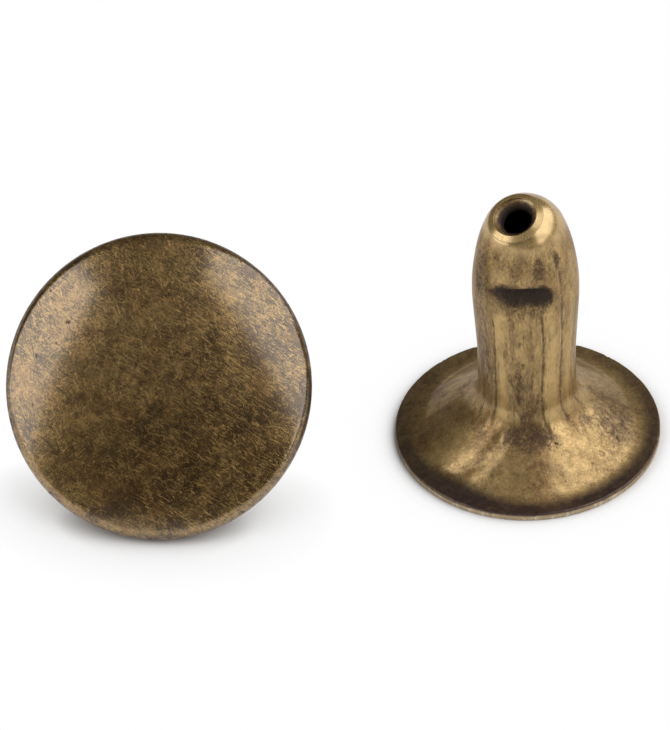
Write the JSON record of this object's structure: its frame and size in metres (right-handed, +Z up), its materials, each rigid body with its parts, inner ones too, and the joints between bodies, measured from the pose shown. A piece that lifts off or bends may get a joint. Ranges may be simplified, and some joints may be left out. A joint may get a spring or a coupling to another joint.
{
  "type": "hollow rivet",
  "caption": "Hollow rivet in two unset halves: a pierced tubular post on a flared base, and a domed cap crimped over the flange of its socket, in antique brass.",
  "frame": {"origin": "centre of the post's base, in the plane that both halves rest on", "axes": "+Z up along the post's axis, towards its tip; +X from the cap half to the post; +Y away from the side that the cap faces"},
  "size_m": [0.0192, 0.0085, 0.0089],
  "materials": {
    "post_brass": "antiqued, worn bright on the edges",
    "cap_brass": "antiqued dark, scuffed",
    "socket_brass": "antiqued, dull"
  },
  "bodies": {
    "root": {"post": "post_brass", "cap": "cap_brass", "socket": "socket_brass"}
  },
  "joints": []
}
